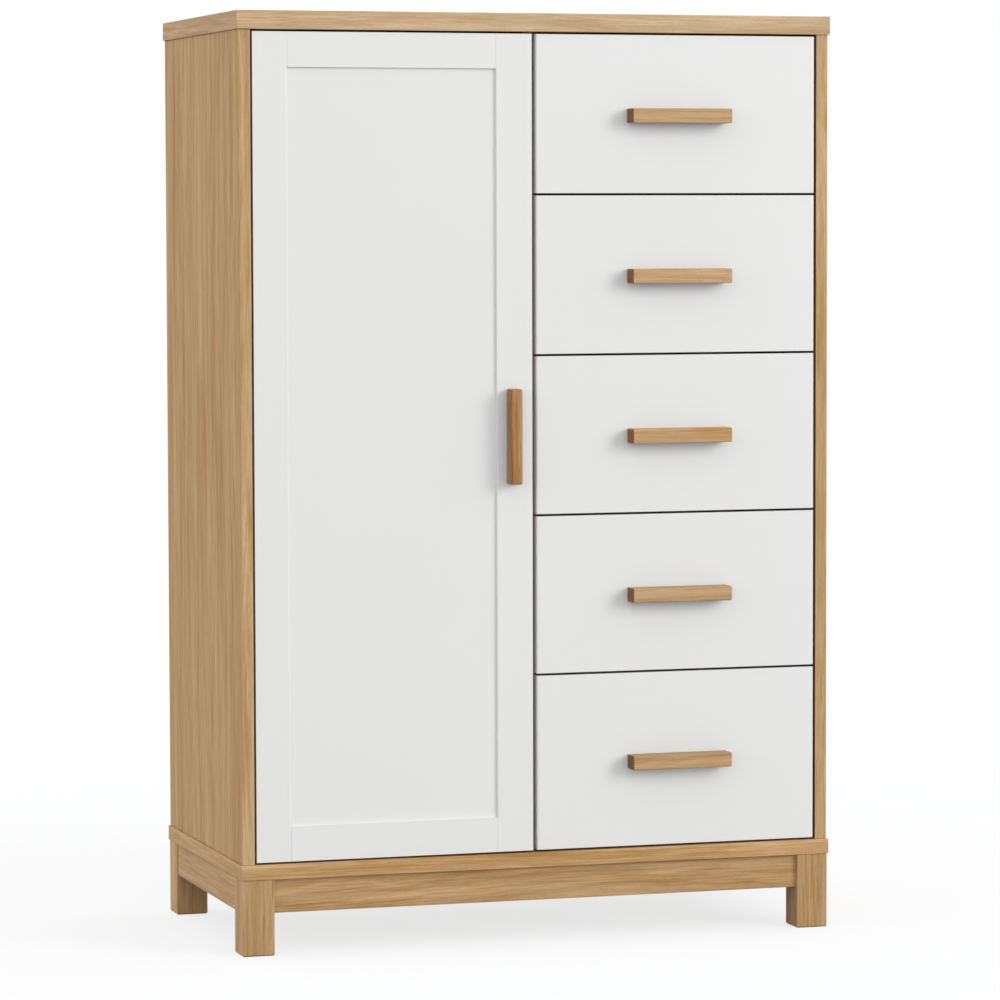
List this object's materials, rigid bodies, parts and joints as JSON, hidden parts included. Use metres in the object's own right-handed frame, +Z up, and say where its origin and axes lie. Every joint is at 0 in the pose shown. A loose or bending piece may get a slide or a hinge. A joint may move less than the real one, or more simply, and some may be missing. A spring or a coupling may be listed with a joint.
{
  "type": "chifforobe",
  "caption": "Tall free-standing case on four square legs, with a framed door over a hanging space beside a column of drawers that slide on side runners.",
  "frame": {"origin": "on the floor, under the middle of the whole piece with its pulls", "axes": "+X to the right seen from the front, +Y to the back, +Z up; the door and drawers face -Y"},
  "size_m": [0.914, 0.494, 1.372],
  "materials": {
    "oak_case": "light oak grain, satin",
    "oak_pull": "solid oak, satin",
    "white_lacquer": "warm white satin lacquer over board",
    "drawer_wood": "pale hardwood and ply, clear sealed",
    "back_board": "thin oak-faced back board",
    "hinge_steel": "nickel-plated pressed steel",
    "rod_steel": "polished chrome plate"
  },
  "bodies": {
    "case": {"top_board": "oak_case", "bottom_board": "oak_case", "left_side_panel": "oak_case", "right_side_panel": "oak_case", "centre_partition": "oak_case", "back_panel": "back_board", "front_left_leg": "oak_case", "front_right_leg": "oak_case", "back_left_leg": "oak_case", "back_right_leg": "oak_case", "front_apron": "oak_case", "back_apron": "oak_case", "left_apron": "oak_case", "right_apron": "oak_case", "wardrobe_shelf": "oak_case", "hanging_rod": "rod_steel", "left_rod_socket": "rod_steel", "right_rod_socket": "rod_steel", "top_hinge_arm": "hinge_steel", "middle_hinge_arm": "hinge_steel", "bottom_hinge_arm": "hinge_steel", "drawer_1_left_runner": "drawer_wood", "drawer_1_right_runner": "drawer_wood", "drawer_2_left_runner": "drawer_wood", "drawer_2_right_runner": "drawer_wood", "drawer_3_left_runner": "drawer_wood", "drawer_3_right_runner": "drawer_wood", "drawer_4_left_runner": "drawer_wood", "drawer_4_right_runner": "drawer_wood", "drawer_5_left_runner": "drawer_wood", "drawer_5_right_runner": "drawer_wood"},
    "door": {"door_hinge_stile": "white_lacquer", "door_lock_stile": "white_lacquer", "door_top_rail": "white_lacquer", "door_bottom_rail": "white_lacquer", "door_panel": "white_lacquer", "door_pull": "oak_pull", "top_hinge_cup": "hinge_steel", "middle_hinge_cup": "hinge_steel", "bottom_hinge_cup": "hinge_steel"},
    "drawer_1": {"drawer_1_front": "white_lacquer", "drawer_1_box": "drawer_wood", "drawer_1_bottom": "drawer_wood", "drawer_1_pull": "oak_pull"},
    "drawer_2": {"drawer_2_front": "white_lacquer", "drawer_2_box": "drawer_wood", "drawer_2_bottom": "drawer_wood", "drawer_2_pull": "oak_pull"},
    "drawer_3": {"drawer_3_front": "white_lacquer", "drawer_3_box": "drawer_wood", "drawer_3_bottom": "drawer_wood", "drawer_3_pull": "oak_pull"},
    "drawer_4": {"drawer_4_front": "white_lacquer", "drawer_4_box": "drawer_wood", "drawer_4_bottom": "drawer_wood", "drawer_4_pull": "oak_pull"},
    "drawer_5": {"drawer_5_front": "white_lacquer", "drawer_5_box": "drawer_wood", "drawer_5_bottom": "drawer_wood", "drawer_5_pull": "oak_pull"}
  },
  "joints": [
    {"name": "door_swing", "type": "hinge", "parent": "case", "child": "door", "pos_m": [-0.433, -0.217, 0.7395], "axis": [0, 0, -1], "range_deg": [0, 105]},
    {"name": "drawer_1_slide", "type": "slide", "parent": "case", "child": "drawer_1", "axis": [0, -1, 0], "range_m": [0, 0.3]},
    {"name": "drawer_2_slide", "type": "slide", "parent": "case", "child": "drawer_2", "axis": [0, -1, 0], "range_m": [0, 0.3]},
    {"name": "drawer_3_slide", "type": "slide", "parent": "case", "child": "drawer_3", "axis": [0, -1, 0], "range_m": [0, 0.3]},
    {"name": "drawer_4_slide", "type": "slide", "parent": "case", "child": "drawer_4", "axis": [0, -1, 0], "range_m": [0, 0.3]},
    {"name": "drawer_5_slide", "type": "slide", "parent": "case", "child": "drawer_5", "axis": [0, -1, 0], "range_m": [0, 0.3]}
  ]
}
